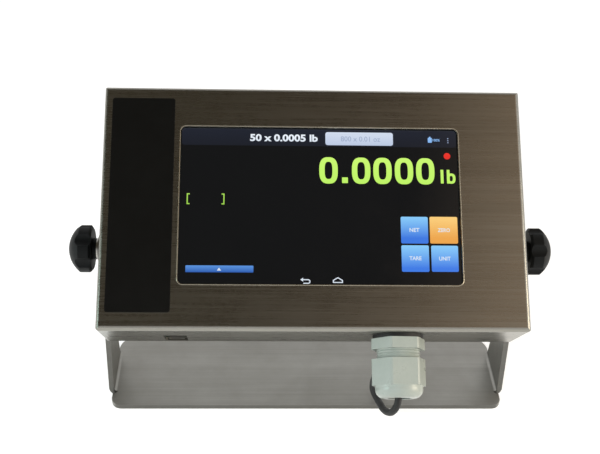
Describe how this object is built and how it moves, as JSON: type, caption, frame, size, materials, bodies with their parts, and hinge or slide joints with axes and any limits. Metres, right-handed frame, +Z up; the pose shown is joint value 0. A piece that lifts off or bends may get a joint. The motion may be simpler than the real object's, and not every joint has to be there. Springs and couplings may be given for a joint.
{
  "type": "weighing indicator",
  "caption": "Touch-screen weighing indicator: a folded stainless head that tilts in a bent yoke bracket, clamped by hand knobs, with a glanded load-cell cable.",
  "frame": {"origin": "on the underside of the base plate, which is the surface that the part stands on, midway between the arms and straight below the tilt axis", "axes": "+X to the right as seen from the front, along the tilt axis; +Y to the back, away from the user; +Z up"},
  "size_m": [0.276, 0.1985, 0.1762],
  "materials": {
    "brushed_sheet": "brushed stainless sheet",
    "fastener_steel": "bright stainless fasteners",
    "knob_plastic": "satin black moulded plastic",
    "gland_plastic": "light grey moulded polyamide",
    "seal_rubber": "soft black rubber",
    "cable_jacket": "smooth black cable jacket",
    "core_insulation": "coloured core insulation",
    "label_film": "black label film",
    "screen_glass": "black-bordered cover glass",
    "display_module": "framed display module",
    "white_tape": "foam mounting tape",
    "circuit_board": "green solder mask",
    "heat_sink_metal": "black anodised",
    "ribbon_film": "flat flexible ribbon",
    "cell_wrap": "shrink-wrapped cells",
    "plug_grip_plastic": "dark grey moulded grip",
    "plug_metal": "plated connector shell",
    "contact_brass": "plated contacts"
  },
  "bodies": {
    "stand": {"yoke_bracket": "brushed_sheet", "cable_loop": "cable_jacket", "cable_run": "cable_jacket", "cable_coil": "cable_jacket", "plug_boot": "cable_jacket", "plug_grip": "plug_grip_plastic", "plug_shell": "plug_metal", "plug_insert": "plug_grip_plastic", "plug_contacts": "contact_brass"},
    "head": {"front_housing": "brushed_sheet", "rear_cover": "brushed_sheet", "cover_gasket": "seal_rubber", "cover_screws": "fastener_steel", "rivet_nuts": "fastener_steel", "label_plate": "label_film", "window_gasket": "seal_rubber", "touch_glass": "screen_glass", "panel_tape": "white_tape", "lcd_panel": "display_module", "display_clamp": "fastener_steel", "clamp_studs": "fastener_steel", "clamp_nuts": "fastener_steel", "computer_board": "circuit_board", "heat_sink": "heat_sink_metal", "load_cell_board": "circuit_board", "board_spacers": "fastener_steel", "board_screws": "fastener_steel", "terminal_block": "circuit_board", "ribbon_socket": "ribbon_film", "display_ribbon": "ribbon_film", "load_cell_wires": "core_insulation", "battery_holder": "knob_plastic", "battery_cells": "cell_wrap", "battery_strap": "fastener_steel", "usb_shell": "fastener_steel", "usb_tongue": "knob_plastic", "usb_board": "circuit_board", "usb_bracket": "fastener_steel", "gland_washer": "seal_rubber", "gland_body": "gland_plastic", "gland_locknut": "gland_plastic", "gland_claw": "gland_plastic", "gland_seal": "seal_rubber", "gland_cap": "gland_plastic", "inner_cable": "cable_jacket", "pivot_nut_left": "fastener_steel", "pivot_nut_right": "fastener_steel", "friction_washer_left": "seal_rubber", "friction_washer_right": "seal_rubber"},
    "knob_left_carrier": {"knob_washer_left": "knob_plastic"},
    "knob_left": {"knob_grip_left": "knob_plastic", "knob_stud_left": "fastener_steel"},
    "knob_right_carrier": {"knob_washer_right": "knob_plastic"},
    "knob_right": {"knob_grip_right": "knob_plastic", "knob_stud_right": "fastener_steel"}
  },
  "joints": [
    {"name": "head_tilt", "type": "hinge", "parent": "stand", "child": "head", "pos_m": [0, 0, 0.1], "axis": [1, 0, 0], "range_deg": [-39.5, 50.5], "deforming": ["cable_loop"]},
    {"name": "knob_left_travel", "type": "slide", "parent": "head", "child": "knob_left_carrier", "axis": [-1, 0, 0], "range_m": [0, 0.0021]},
    {"name": "knob_left_turn", "type": "hinge", "parent": "knob_left_carrier", "child": "knob_left", "pos_m": [-0.1285, 0, 0.1], "axis": [-1, 0, 0], "range_deg": [0, 720]},
    {"name": "knob_right_travel", "type": "slide", "parent": "head", "child": "knob_right_carrier", "axis": [1, 0, 0], "range_m": [0, 0.0021]},
    {"name": "knob_right_turn", "type": "hinge", "parent": "knob_right_carrier", "child": "knob_right", "pos_m": [0.1285, 0, 0.1], "axis": [1, 0, 0], "range_deg": [0, 720]}
  ],
  "couplings": [
    {"joint": "knob_left_travel", "follows": "knob_left_turn", "m_per_rad": 0.00015915},
    {"joint": "knob_right_travel", "follows": "knob_right_turn", "m_per_rad": 0.00015915}
  ]
}
